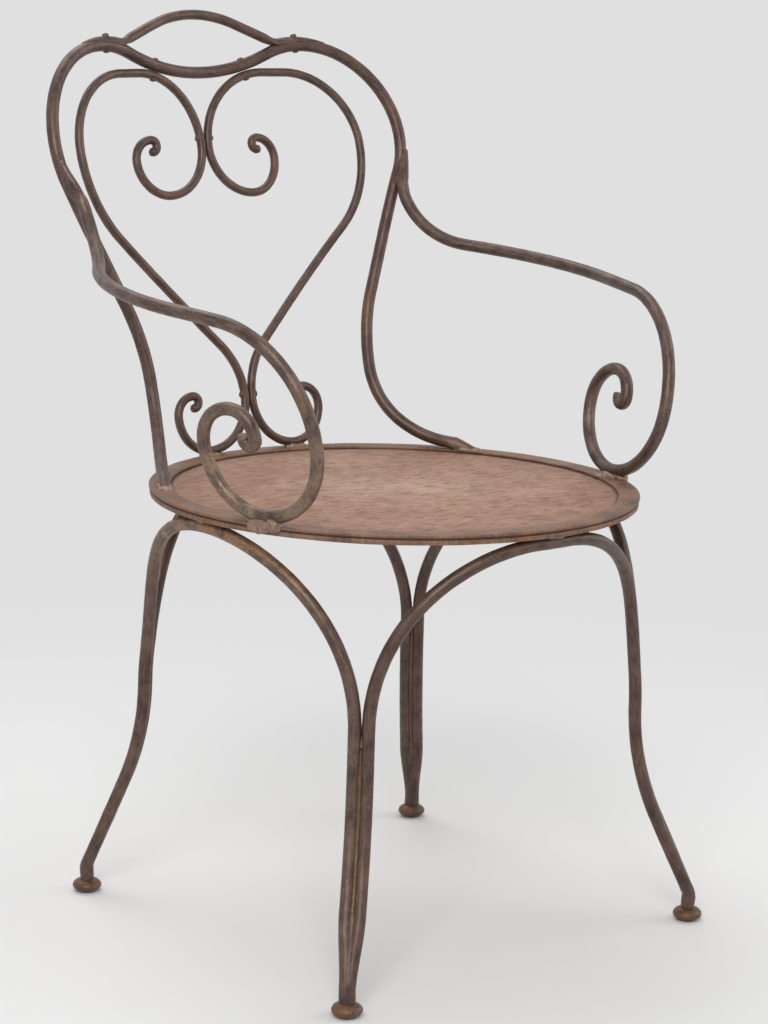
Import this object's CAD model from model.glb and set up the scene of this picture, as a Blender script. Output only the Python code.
import logging
import math
from collections.abc import Callable, Iterator, Sequence
from contextlib import contextmanager
from dataclasses import dataclass, field
from enum import Enum
from typing import NamedTuple

import bpy
import numpy as np
from mathutils import Matrix, Vector
from mathutils.kdtree import KDTree


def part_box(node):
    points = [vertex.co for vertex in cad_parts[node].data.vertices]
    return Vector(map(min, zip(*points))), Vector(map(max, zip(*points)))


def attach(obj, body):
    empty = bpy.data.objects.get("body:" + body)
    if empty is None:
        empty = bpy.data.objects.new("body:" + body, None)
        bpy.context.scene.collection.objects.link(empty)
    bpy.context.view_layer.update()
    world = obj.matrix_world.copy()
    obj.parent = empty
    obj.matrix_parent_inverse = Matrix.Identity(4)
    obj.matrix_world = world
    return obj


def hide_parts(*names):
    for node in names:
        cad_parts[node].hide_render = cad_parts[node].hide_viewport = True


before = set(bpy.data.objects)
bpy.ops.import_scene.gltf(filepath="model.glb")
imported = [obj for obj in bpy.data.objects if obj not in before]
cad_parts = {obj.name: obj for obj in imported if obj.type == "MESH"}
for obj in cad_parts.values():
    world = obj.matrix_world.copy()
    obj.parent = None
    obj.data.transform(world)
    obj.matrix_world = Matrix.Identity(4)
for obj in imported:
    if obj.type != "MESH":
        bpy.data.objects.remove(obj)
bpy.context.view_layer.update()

# Garden armchair of bent round bar: a round sheet seat on four leg arches, a hoop back with two
# heart scrolls, a raised crest and two looped arms. Sizes are metres and degrees. Pieces are laid
# out round the seat's axis, with the floor at z = 0, and carried into the frame when dressed.

log = logging.getLogger("armchair")

Surface = Callable[[float, float], Vector]
UP = Vector((0, 0, 1))
ACROSS = Vector((1, 0, 0))
FRONT = Vector((0, -1, 0))
STEP = 0.003  # between the points of a centre line
NUDGE = 1e-5  # to either side of a place, for the direction there
MERGE = 1e-5  # points closer than this are one
BAR = 0.0065  # radius of the frame's round bar
GAP = 0.0001  # between two bars that lie on one another
SEAT_TOP = 0.445
SEAT_RADIUS = 0.2485
RING_LOW, RING_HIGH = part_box("seat_ring")
SEAT_AXIS = Vector((0, (RING_LOW.y + RING_HIGH.y) / 2, 0))


class Side(Enum):
    """The sitter's left is +X."""

    LEFT = 1
    RIGHT = -1

    @property
    def label(self) -> str:
        """The side's name as the nodes spell it."""
        return self.name.lower()

    @property
    def flip(self) -> Vector:
        """What carries a place on the left of the chair to this side."""
        return Vector((self.value, 1, 1))


class Corner(Enum):
    """A leg of the chair, as (is it a front leg, is it on the left)."""

    FRONT_LEFT = (True, True)
    FRONT_RIGHT = (True, False)
    REAR_LEFT = (False, True)
    REAR_RIGHT = (False, False)

    @property
    def label(self) -> str:
        """The corner's name as the nodes spell it."""
        return self.name.lower()


# Curves


class Station(NamedTuple):
    """A point of a bar's centre line and the way that the line runs there."""

    point: Vector
    along: Vector


class Pen:
    """Draws a chain of arcs and straights on a flat sheet and keeps the end of each stretch."""

    def __init__(self, x: float, z: float, heading: float) -> None:
        """Sets the pen down.

        Args:
            x: Place across the sheet.
            z: Place up the sheet.
            heading: Direction in degrees, 0 along x and 90 up.
        """
        self.x, self.z, self.heading = x, z, math.radians(heading)
        self.marks = [(x, z, self.heading)]

    def line(self, length: float, pieces: int = 1) -> "Pen":
        """Draws a straight.

        Args:
            length: Length of the straight.
            pieces: Number of marks that it is divided by.

        Returns:
            The pen itself.
        """
        for _ in range(pieces):
            self.x += length / pieces * math.cos(self.heading)
            self.z += length / pieces * math.sin(self.heading)
            self.marks.append((self.x, self.z, self.heading))
        return self

    def arc(self, radius: float, turn: float, step: float = 32) -> "Pen":
        """Draws an arc.

        Args:
            radius: Radius of the arc.
            turn: Degrees of turn, to the left when positive.
            step: Most degrees between two marks.

        Returns:
            The pen itself.
        """
        pieces = max(1, math.ceil(abs(turn) / step))
        side = math.copysign(1, turn)
        for _ in range(pieces):
            middle_x = self.x - side * radius * math.sin(self.heading)
            middle_z = self.z + side * radius * math.cos(self.heading)
            self.heading += math.radians(turn / pieces)
            self.x = middle_x + side * radius * math.sin(self.heading)
            self.z = middle_z - side * radius * math.cos(self.heading)
            self.marks.append((self.x, self.z, self.heading))
        return self


def place(marks: Sequence[tuple[float, float, float]], surface: Surface) -> list[Station]:
    """Carries flat marks onto a surface.

    Args:
        marks: Marks of a pen, as x, z and heading.
        surface: Function from x and z to a point.

    Returns:
        A station for each mark.
    """
    stations = []
    for x, z, heading in marks:
        dx, dz = NUDGE * math.cos(heading), NUDGE * math.sin(heading)
        along = surface(x + dx, z + dz) - surface(x - dx, z - dz)
        stations.append(Station(surface(x, z), along.normalized()))
    return stations


def backwards(stations: Sequence[Station]) -> list[Station]:
    """The same stations run the other way."""
    return [Station(s.point, -s.along) for s in reversed(stations)]


def mirrored(stations: Sequence[Station], side: Side) -> list[Station]:
    """The stations on the given side of the chair, drawn for the left one."""
    return [Station(s.point * side.flip, s.along * side.flip) for s in stations]


def both_halves(half: Sequence[Station]) -> list[Station]:
    """Stations from the right end over the middle to the left end, given those from the middle."""
    return backwards(mirrored(half, Side.RIGHT)) + list(half[1:])


def arc_points(start: Vector, along: Vector, end: Vector) -> list[Vector]:
    """Points of the arc, or straight, that leaves start along a direction and reaches end.

    Args:
        start: First point.
        along: Direction of the arc at its start.
        end: Last point, which isn't among those returned.

    Returns:
        Points about a step apart.
    """
    chord = end - start
    across = chord - along * chord.dot(along)
    if across.length < 1e-7:
        count = max(1, math.ceil(chord.length / STEP))
        return [start + chord * i / count for i in range(count)]
    radius = chord.length_squared / (2 * across.length)
    turn = 2 * math.atan2(across.length, chord.dot(along))
    inward = across.normalized()
    count = max(1, math.ceil(radius * turn / STEP))
    points = []
    for i in range(count):
        angle = turn * i / count
        points.append(start + along * radius * math.sin(angle) + inward * radius * (1 - math.cos(angle)))
    return points


def follow(stations: Sequence[Station]) -> list[Vector]:
    """The smooth centre line through the stations, with two arcs between each pair.

    Args:
        stations: Stations of a bar, in order.

    Returns:
        Points of the centre line, about a step apart.
    """
    points: list[Vector] = []
    for (start, leave), (end, arrive) in zip(stations, stations[1:]):
        chord = end - start
        a = 2 * (1 - leave.dot(arrive))
        b = 2 * chord.dot(leave + arrive)
        c = -chord.length_squared
        reach = (math.sqrt(b * b - 4 * a * c) - b) / (2 * a) if a > 1e-6 else -c / b
        first, second = start + leave * reach, end - arrive * reach
        middle = (first + second) / 2
        points += arc_points(start, leave, middle)
        points += arc_points(middle, (second - first).normalized(), end)
    points.append(stations[-1].point.copy())
    return points


def rounded(corners: Sequence[Vector], radii: Sequence[float]) -> list[Station]:
    """Stations of a run of straights with an arc at each inner corner.

    Args:
        corners: End points and corners of the run.
        radii: Radius of the arc at each inner corner.

    Returns:
        Stations from the first point to the last.
    """
    ways = [(q - p).normalized() for p, q in zip(corners, corners[1:])]
    stations = [Station(corners[0], ways[0])]
    for corner, radius, before, after in zip(corners[1:], radii, ways, ways[1:]):
        turn = before.angle(after)
        start = corner - before * radius * math.tan(turn / 2)
        inward = (after - before * after.dot(before)).normalized()
        pieces = max(1, math.ceil(math.degrees(turn) / 40))
        stations.append(Station(start, before))
        for i in range(1, pieces + 1):
            angle = turn * i / pieces
            on = start + before * radius * math.sin(angle) + inward * radius * (1 - math.cos(angle))
            stations.append(Station(on, before * math.cos(angle) + inward * math.sin(angle)))
    stations.append(Station(corners[-1], ways[-1]))
    return stations


def lengths(line: Sequence[Vector]) -> list[float]:
    """How far along the line each of its points lies.

    Args:
        line: Points of a centre line.

    Returns:
        The distance from the first point to each point.
    """
    travelled = [0.0]
    for p, q in zip(line, line[1:]):
        travelled.append(travelled[-1] + (q - p).length)
    return travelled


# Modelling


def pick(*objects: bpy.types.Object) -> None:
    """Selects these objects and no others, and makes the first one active."""
    bpy.ops.object.select_all(action="DESELECT")
    for item in objects:
        item.select_set(True)
    bpy.context.view_layer.objects.active = objects[0]


def settle(piece: bpy.types.Object) -> None:
    """Puts the object's place, turn and size into its mesh."""
    pick(piece)
    bpy.ops.object.transform_apply(location=True, rotation=True, scale=True)


def newly_made(name: str) -> bpy.types.Object:
    """Names the object that an operator has just made, and hands it over."""
    piece = bpy.context.object
    piece.name = piece.data.name = name
    return piece


@contextmanager
def editing() -> Iterator[None]:
    """Edit mode on the active piece, with all of it selected at first."""
    bpy.ops.object.mode_set(mode="EDIT")
    bpy.ops.mesh.select_all(action="SELECT")
    yield
    bpy.ops.object.mode_set(mode="OBJECT")


class Dents(Enum):
    """Marks of hammer, heat and rust, as (how wide, how deep from lowest to highest)."""

    RIM = (0.030, 0.0007)
    BAND = (0.030, 0.0006)
    BAR = (0.012, 0.0004)
    CREST = (0.011, 0.0004)
    SCROLL = (0.010, 0.0004)
    ANKLE = (0.010, 0.0005)
    FOOT = (0.009, 0.0007)
    BRAZE = (0.006, 0.0012)
    RIVET = (0.004, 0.0003)
    WELD_LUMP = (0.010, 0.0034)
    WELD_GRAIN = (0.0028, 0.0009)


def hammer(piece: bpy.types.Object, dents: Dents) -> None:
    """Dents the surface of a piece.

    Args:
        piece: Mesh object.
        dents: The marks to leave.
    """
    cloud = bpy.data.textures.new(f"{piece.name} dents", "CLOUDS")
    cloud.noise_scale, depth = dents.value
    cloud.noise_depth = 2
    push = piece.modifiers.new("Dents", "DISPLACE")
    push.texture = cloud
    push.texture_coords = "LOCAL"
    push.strength = depth
    push.mid_level = 0.5
    pick(piece)
    bpy.ops.object.modifier_apply(modifier=push.name)


def smooth(piece: bpy.types.Object, angle: float = 40) -> None:
    """Shades the piece smooth, with edges sharper than the angle kept."""
    pick(piece)
    bpy.ops.object.shade_smooth_by_angle(angle=math.radians(angle))


def blunted(
    line: Sequence[Vector], radii: Sequence[float], rounding: float
) -> tuple[list[Vector], list[float]]:
    """Rounds the edges of both ends of a bar.

    Args:
        line: Points of the centre line.
        radii: Radius at each point.
        rounding: Radius of the rounding as a share of the bar's own.

    Returns:
        The line and its radii with close points added at the ends.
    """
    points, sizes = [p.copy() for p in line], list(radii)
    for _ in range(2):
        end, size = points[-1], sizes[-1]
        depth = size * rounding
        while len(points) > 2 and (points[-1] - end).length < depth * 1.3:
            points.pop()
            sizes.pop()
        way = (end - points[-1]).normalized()
        for angle in (0, 30, 60, 80):
            sine, cosine = math.sin(math.radians(angle)), math.cos(math.radians(angle))
            points.append(end - way * depth * (1 - sine))
            sizes.append(size - depth * (1 - cosine))
        points.reverse()
        sizes.reverse()
    return points, sizes


def round_bar(
    name: str,
    line: Sequence[Vector],
    radius: float | Callable[[float], float],
    sides: int = 20,
    rounding: float = 0.35,
) -> bpy.types.Object:
    """Models a bent round bar, with its own map: metres along it, and one turn round it.

    Args:
        name: Name of the piece.
        line: Points of the centre line.
        radius: Radius of the bar, or a function of the distance along it.
        sides: Faces round the bar.
        rounding: Rounding of its ends as a share of the radius.

    Returns:
        The bar as a closed mesh.
    """
    travelled = lengths(line)
    radii = [radius(at) if callable(radius) else radius for at in travelled]
    points, sizes = blunted(line, radii, rounding)
    bpy.ops.curve.primitive_nurbs_path_add()
    piece = newly_made(name)
    curve = piece.data
    curve.splines.clear()
    spline = curve.splines.new("POLY")
    spline.points.add(len(points) - 1)
    widest = max(sizes)
    for knot, point, size in zip(spline.points, points, sizes):
        knot.co = (*point, 1)
        knot.radius = size / widest
    curve.dimensions = "3D"
    curve.twist_mode = "MINIMUM"
    curve.bevel_depth = widest
    curve.bevel_resolution = sides // 2 - 2
    curve.use_fill_caps = True
    pick(piece)
    bpy.ops.object.convert(target="MESH")
    piece = newly_made(name)
    with editing():
        bpy.ops.mesh.remove_doubles(threshold=MERGE)
        bpy.ops.mesh.normals_make_consistent(inside=False)
    uv = np.zeros(len(piece.data.loops) * 2, np.float32)
    layer = piece.data.uv_layers[0].data
    layer.foreach_get("uv", uv)
    uv[0::2] *= travelled[-1]
    layer.foreach_set("uv", uv)
    smooth(piece)
    return piece


@dataclass(frozen=True)
class Lap:
    """How the end of a bar is hammered down onto the bar or the rim that it lies on."""

    rest: float
    under: float
    half_width: float
    thick: float
    tip: float
    reach: float
    ease: float

    def section(self, from_end: float, radius: float, deep: float, across: float) -> tuple[float, float]:
        """Place in the hammered section of a place in the round one.

        Args:
            from_end: Distance from the tip.
            radius: Radius of the round bar.
            deep: Distance out of the joint from the centre line.
            across: Distance sideways from the centre line.

        Returns:
            Both distances after hammering.
        """
        share = min(1.0, max(0.0, (self.reach + self.ease - from_end) / self.ease))
        share = share * share * (3 - 2 * share)
        along = min(1.0, from_end / self.reach)
        narrow = math.sqrt(0.12 + 0.88 * along * (2 - along))
        wide = across * self.half_width / radius * narrow
        saddle = math.sqrt(max(self.under**2 - wide**2, 0.0)) - self.under if self.under else 0.0
        laid = saddle - self.rest + (self.tip + (self.thick - self.tip) * along) * max(deep / radius, 0.0)
        return deep + (laid - deep) * share, across + (wide - across) * share


def forge(
    piece: bpy.types.Object,
    line: Sequence[Vector],
    radius: float,
    lap: Lap,
    facing: Callable[[int], Vector],
    both: bool = True,
) -> None:
    """Hammers the end of a bar, or both ends, down onto what lies under it.

    Args:
        piece: The bar's mesh.
        line: Points of its centre line.
        radius: Radius of the bar.
        lap: Form of the hammered end.
        facing: Direction out of the joint at the point with that number.
        both: Whether the bar's first end is hammered too.
    """
    travelled = lengths(line)
    tree = KDTree(len(line))
    for i, point in enumerate(line):
        tree.insert(point, i)
    tree.balance()
    for vertex in piece.data.vertices:
        _, i, _ = tree.find(vertex.co)
        from_end = travelled[-1] - travelled[i]
        if both:
            from_end = min(from_end, travelled[i])
        if from_end > lap.reach + lap.ease:
            continue
        along = (line[min(i + 1, len(line) - 1)] - line[max(i - 1, 0)]).normalized()
        out = facing(i)
        out = (out - along * out.dot(along)).normalized()
        side = along.cross(out)
        offset = vertex.co - line[i]
        deep, across = lap.section(from_end, radius, offset.dot(out), offset.dot(side))
        vertex.co = line[i] + along * offset.dot(along) + out * deep + side * across
    piece.data.update()


def turned_ring(
    name: str, inner: float, outer: float, bottom: float, top: float, edge: float
) -> bpy.types.Object:
    """Models a flat bar bent into a full ring, by spinning its section.

    Args:
        name: Name of the piece.
        inner: Inner radius.
        outer: Outer radius.
        bottom: Height of its underside.
        top: Height of its upper side.
        edge: Rounding of its four edges.

    Returns:
        The ring as a closed mesh.
    """
    bpy.ops.mesh.primitive_plane_add(
        size=1, location=((inner + outer) / 2, 0, (bottom + top) / 2), rotation=(math.pi / 2, 0, 0)
    )
    piece = newly_made(name)
    piece.scale = (outer - inner, top - bottom, 1)
    settle(piece)
    with editing():
        bpy.ops.mesh.bevel(offset=edge, segments=3, affect="VERTICES")
        bpy.ops.mesh.select_all(action="SELECT")
        bpy.ops.mesh.delete(type="ONLY_FACE")
        bpy.ops.mesh.select_all(action="SELECT")
        bpy.ops.mesh.spin(steps=180, angle=2 * math.pi, center=(0, 0, 0), axis=UP)
        bpy.ops.mesh.select_all(action="SELECT")
        bpy.ops.mesh.remove_doubles(threshold=MERGE)
        bpy.ops.mesh.normals_make_consistent(inside=False)
    return piece


# Surfaces that the bars are bent to


@dataclass(frozen=True)
class BackSheet:
    """The surface of the back: leaning, gently swayed, and curved across like a barrel."""

    seat_top: float = SEAT_TOP
    start: float = 0.236
    lean: float = 15.5
    sway: float = 0.0072
    sway_length: float = 0.405
    plan_low: float = 0.320
    plan_high: float = 0.550
    plan_rise: float = 0.400

    def middle(self, z: float) -> float:
        """How far behind the seat's axis the middle of the back lies at a height."""
        above = z - self.seat_top
        wave = self.sway * math.sin(2 * math.pi * above / self.sway_length)
        return self.start + math.tan(math.radians(self.lean)) * above - wave

    def point(self, x: float, z: float) -> Vector:
        """Point of the curved back.

        Args:
            x: Place across.
            z: Height.

        Returns:
            The point on the surface.
        """
        low, high = 1 / self.plan_low, 1 / self.plan_high
        radius = 1 / (low + (high - low) * (z - self.seat_top) / self.plan_rise)
        return Vector((x, self.middle(z) - radius + math.sqrt(radius**2 - x**2), z))

    def flat_point(self, x: float, z: float) -> Vector:
        """Point of the back where a scroll is left uncurved across."""
        return Vector((x, self.middle(z), z))

    def direction(self, x: float, z: float, dx: float, dz: float) -> Vector:
        """Direction on the curved back of a step in x and z."""
        dx, dz = NUDGE * dx, NUDGE * dz
        return (self.point(x + dx, z + dz) - self.point(x - dx, z - dz)).normalized()


@dataclass(frozen=True)
class LegShell:
    """The flaring shell round the seat's axis that the leg arches are wrapped on."""

    crown: float = 0.4286
    arch_top: float = 0.2365
    front_corner: float = 43.9
    rear_corner: float = 44
    bend: float = 0.300
    kick: float = 0.280
    waist: float = 0.228
    front_rake: float = 4.9
    front_splay: float = 24.9
    rear_rake: float = 4.9
    rear_splay: float = 22.4

    def radius(self, z: float, front: bool) -> float:
        """Distance of a leg from the seat's axis.

        Args:
            z: Height.
            front: Whether it is a front leg.

        Returns:
            The distance at that height.
        """
        rake = math.radians(self.front_rake if front else self.rear_rake)
        splay = math.radians(self.front_splay if front else self.rear_splay)
        upper = self.waist + self.bend * math.sin(rake)
        lower = self.waist - self.kick * math.sin(splay)
        if z > upper:
            return self.arch_top + (self.crown - z) * math.tan(rake)
        bent = self.bend * (1 - math.cos(rake))
        at_waist = self.arch_top + (self.crown - upper) * math.tan(rake) + bent
        if z > self.waist:
            return at_waist - self.bend + math.sqrt(self.bend**2 - (z - self.waist) ** 2)
        if z > lower:
            return at_waist + self.kick - math.sqrt(self.kick**2 - (self.waist - z) ** 2)
        return at_waist + self.kick * (1 - math.cos(splay)) + (lower - z) * math.tan(splay)

    def angle(self, corner: Corner) -> float:
        """Direction of a leg from the seat's axis, in radians from the X axis."""
        front, left = corner.value
        angle = math.radians(-self.front_corner if front else self.rear_corner)
        return angle if left else math.pi - angle

    def point(self, u: float, z: float, corner: Corner, turn: int) -> Vector:
        """Point of the shell.

        Args:
            u: Distance along the shell from the leg's middle.
            z: Height.
            corner: The leg.
            turn: Sense round the axis, 1 or -1.

        Returns:
            The point at that place.
        """
        radius = self.radius(z, corner.value[0])
        angle = self.angle(corner) + turn * u / radius
        return Vector((radius * math.cos(angle), radius * math.sin(angle), z))


# Finishes

Colour = tuple[float, float, float, float]
Socket = bpy.types.NodeSocket
Value = Socket | float | Sequence[float]
Sockets = dict[str, Socket]


def tone(red: float, green: float, blue: float) -> Colour:
    """A colour as it looks on a screen, 0 to 255, as the renderer's own numbers."""
    shares = [part / 255 for part in (red, green, blue)]
    return (*(v / 12.92 if v <= 0.04045 else ((v + 0.055) / 1.055) ** 2.4 for v in shares), 1.0)


class Wiring:
    """Adds nodes to a material, a world or a node group, with their inputs given by name."""

    def __init__(self, tree: bpy.types.NodeTree) -> None:
        """Takes the tree that is wired."""
        self.tree = tree

    @classmethod
    def fresh(cls, owner: bpy.types.Material | bpy.types.World) -> "Wiring":
        """Takes the tree of a material or a world, and empties it."""
        owner.use_nodes = True
        owner.node_tree.nodes.clear()
        return cls(owner.node_tree)

    def add(self, kind: str, inputs: dict | None = None, **settings: object) -> bpy.types.Node:
        """Adds a node.

        Args:
            kind: Type of the node.
            inputs: Value, or socket to link, for each input, by name or number.
            settings: Attributes of the node.

        Returns:
            The new node.
        """
        node = self.tree.nodes.new(kind)
        for key, value in settings.items():
            setattr(node, key, value)
        for key, value in (inputs or {}).items():
            if isinstance(value, bpy.types.NodeSocket):
                self.tree.links.new(value, node.inputs[key])
            else:
                node.inputs[key].default_value = value
        return node

    def group(self, effect: "Effect", **inputs: Value) -> bpy.types.Node:
        """Adds a shared effect with its inputs."""
        return self.add("ShaderNodeGroup", inputs, node_tree=effect.tree())

    def maths(self, operation: str, a: Value, b: Value = 0.0, clamp: bool = False) -> Socket:
        """One step of arithmetic on two values."""
        return self.add("ShaderNodeMath", {0: a, 1: b}, operation=operation, use_clamp=clamp).outputs[0]

    def plus(self, a: Value, b: Value) -> Socket:
        """The sum of two values."""
        return self.maths("ADD", a, b)

    def times(self, a: Value, b: Value) -> Socket:
        """The product of two values."""
        return self.maths("MULTIPLY", a, b)

    def larger(self, a: Value, b: Value) -> Socket:
        """The larger of two values."""
        return self.maths("MAXIMUM", a, b)

    def distance(self, place: Value) -> Socket:
        """How far a place is from the origin."""
        return self.add("ShaderNodeVectorMath", {0: place}, operation="LENGTH").outputs["Value"]

    def remap(self, value: Value, low: float, high: float, new_low: float = 0, new_high: float = 1) -> Socket:
        """Stretches the range of a value, smoothly and without leaving it."""
        ends = {"From Min": low, "From Max": high, "To Min": new_low, "To Max": new_high}
        node = self.add("ShaderNodeMapRange", {"Value": value, **ends}, interpolation_type="SMOOTHSTEP")
        return node.outputs["Result"]

    def mix(self, share: Value, a: Value, b: Value) -> Socket:
        """Colour between a and b."""
        return self.add("ShaderNodeMix", {0: share, 6: a, 7: b}, data_type="RGBA").outputs[2]

    def noise(self, place: Value, scale: Value, detail: float = 4, roughness: float = 0.55) -> Socket:
        """Noise value at a place."""
        inputs = {"Vector": place, "Scale": scale, "Detail": detail, "Roughness": roughness}
        return self.add("ShaderNodeTexNoise", inputs).outputs["Fac"]

    def stretched(self, place: Value, scale: Sequence[float], turn: float = 0, shift: float = 0) -> Socket:
        """Scales, turns and shifts a place.

        Args:
            place: The place.
            scale: Scale along each axis.
            turn: Degrees about Z.
            shift: Shift along every axis.

        Returns:
            The new place.
        """
        inputs = {
            "Vector": place, "Location": (shift, shift, shift),
            "Rotation": (0, 0, math.radians(turn)), "Scale": tuple(scale),
        }
        return self.add("ShaderNodeMapping", inputs).outputs["Vector"]

    def shown_rays(self) -> Socket:
        """One for the rays that show the backdrop: seen, mirrored or looked through."""
        path = self.add("ShaderNodeLightPath").outputs
        mirrored_too = self.larger(path["Is Camera Ray"], path["Is Glossy Ray"])
        return self.larger(mirrored_too, path["Is Transmission Ray"])

    def surface(self, colour: Socket, rough: Socket, metal: float, height: Socket, relief: float) -> None:
        """Ends a material with its shader.

        Args:
            colour: Colour of the skin.
            rough: Roughness of the skin.
            metal: Share of bare metal in the look of it.
            height: Height of its grain and pits.
            relief: Depth of a height of one.
        """
        bump = self.add("ShaderNodeBump", {"Height": height, "Distance": relief, "Strength": 1.0})
        shader = self.add(
            "ShaderNodeBsdfPrincipled",
            {"Base Color": colour, "Roughness": rough, "Metallic": metal, "Normal": bump.outputs["Normal"]},
        )
        self.add("ShaderNodeOutputMaterial", {"Surface": shader.outputs["BSDF"]})


def wire_round_place(wiring: Wiring, given: Sockets) -> Sockets:
    """Turns a bar's map into a place in space that meets itself round the bar.

    Args:
        wiring: The group's wiring.
        given: The bar's map and girth.

    Returns:
        The place.
    """
    parts = wiring.add("ShaderNodeSeparateXYZ", {"Vector": given["Map"]}).outputs
    turn = wiring.times(parts["Y"], 2 * math.pi)
    across = wiring.times(wiring.maths("COSINE", turn), given["Girth"])
    deep = wiring.times(wiring.maths("SINE", turn), given["Girth"])
    joined = wiring.add("ShaderNodeCombineXYZ", {"X": across, "Y": deep, "Z": parts["X"]})
    return {"Place": joined.outputs["Vector"]}


def wire_streaks(wiring: Wiring, given: Sockets) -> Sockets:
    """Faint marks along Z, as drawing leaves them, over slow changes of tone.

    Args:
        wiring: The group's wiring.
        given: The place and scale.

    Returns:
        How bright the marks are.
    """
    place, scale = given["Place"], given["Scale"]
    fine = wiring.noise(wiring.stretched(place, (1, 1, 0.22)), scale, 5, 0.65)
    broad = wiring.noise(place, wiring.times(scale, 0.07), 4, 0.6)
    both = wiring.plus(wiring.times(fine, 0.5), wiring.times(broad, 0.5))
    return {"Mask": wiring.remap(both, 0.34, 0.68)}


def wire_specks(wiring: Wiring, given: Sockets) -> Sockets:
    """Small spots that keep together in clusters.

    Args:
        wiring: The group's wiring.
        given: The place and scale.

    Returns:
        Where the spots are.
    """
    place, scale = given["Place"], given["Scale"]
    spots = wiring.remap(wiring.noise(place, scale, 3, 0.7), 0.56, 0.68)
    clusters = wiring.remap(wiring.noise(place, wiring.times(scale, 0.06), 4, 0.6), 0.42, 0.66)
    return {"Mask": wiring.times(spots, clusters)}


def wire_rust(wiring: Wiring, given: Sockets) -> Sockets:
    """Patches of rust with ragged edges, and the grain inside them.

    Args:
        wiring: The group's wiring.
        given: The place, the scale and the share covered.

    Returns:
        Where the rust is, and its grain.
    """
    patches = wiring.noise(given["Place"], given["Scale"], 6, 0.62)
    grain = wiring.noise(given["Place"], wiring.times(given["Scale"], 14), 4, 0.7)
    ragged = wiring.plus(patches, wiring.times(wiring.maths("SUBTRACT", grain, 0.5), 0.22))
    edge = wiring.maths("SUBTRACT", 1, given["Cover"])
    above = wiring.maths("MULTIPLY", wiring.maths("SUBTRACT", ragged, edge), 9, clamp=True)
    return {"Mask": above, "Grain": grain}


def wire_pits(wiring: Wiring, given: Sockets) -> Sockets:
    """Height of a pitted, scaled skin.

    Args:
        wiring: The group's wiring.
        given: The place and scale.

    Returns:
        The height.
    """
    place, scale = given["Place"], given["Scale"]
    rough = wiring.noise(place, scale, 6, 0.68)
    cells = wiring.add("ShaderNodeTexVoronoi", {"Vector": place, "Scale": wiring.times(scale, 0.55)})
    holes = wiring.remap(cells.outputs["Distance"], 0.0, 0.28)
    return {"Height": wiring.plus(wiring.times(rough, 0.8), wiring.times(holes, 0.25))}


def wire_scratches(wiring: Wiring, given: Sockets) -> Sockets:
    """Short thin scratches in three directions, most of them along the sheet's grain.

    Args:
        wiring: The group's wiring.
        given: The place and scale.

    Returns:
        Where the scratches are.
    """
    place, scale = given["Place"], given["Scale"]
    lines = []
    for turn, shift, edge in ((-20, 0.3, 0.66), (12, 1.7, 0.7), (48, 3.1, 0.7)):
        run = wiring.stretched(place, (0.05, 1, 1), turn, shift)
        lines.append(wiring.remap(wiring.noise(run, scale, 2, 0.5), edge, edge + 0.05))
    most = wiring.larger(lines[0], wiring.larger(lines[1], lines[2]))
    clusters = wiring.remap(wiring.noise(place, wiring.times(scale, 0.03), 3), 0.45, 0.62)
    return {"Mask": wiring.times(most, clusters)}


class Effect(Enum):
    """A shared effect: its name, its inputs' starting values, its outputs and its wiring.

    An input without a starting value is a vector.
    """

    ROUND_BAR = ("Round the bar", {"Map": None, "Girth": BAR}, ("Place",), wire_round_place)
    STREAKS = ("Draw marks", {"Place": None, "Scale": 300.0}, ("Mask",), wire_streaks)
    SPECKS = ("Specks", {"Place": None, "Scale": 620.0}, ("Mask",), wire_specks)
    RUST = ("Rust patches", {"Place": None, "Scale": 18.0, "Cover": 0.45}, ("Mask", "Grain"), wire_rust)
    PITS = ("Pitted skin", {"Place": None, "Scale": 500.0}, ("Height",), wire_pits)
    SCRATCHES = ("Scratches", {"Place": None, "Scale": 900.0}, ("Mask",), wire_scratches)

    def tree(self) -> bpy.types.NodeTree:
        """Makes the effect's node group once, or hands back the one that is there.

        Returns:
            The group's tree.
        """
        name, inputs, outputs, wire = self.value
        known = bpy.data.node_groups.get(name)
        if known:
            return known
        tree = bpy.data.node_groups.new(name, "ShaderNodeTree")
        for label, value in inputs.items():
            kind = "NodeSocketVector" if value is None else "NodeSocketFloat"
            socket = tree.interface.new_socket(label, in_out="INPUT", socket_type=kind)
            if value is not None:
                socket.default_value = value
        for label in outputs:
            kind = "NodeSocketVector" if label == "Place" else "NodeSocketFloat"
            tree.interface.new_socket(label, in_out="OUTPUT", socket_type=kind)
        wiring = Wiring(tree)
        entry = wiring.add("NodeGroupInput")
        made = wire(wiring, {label: entry.outputs[label] for label in inputs})
        wiring.add("NodeGroupOutput", made)
        return tree


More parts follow.
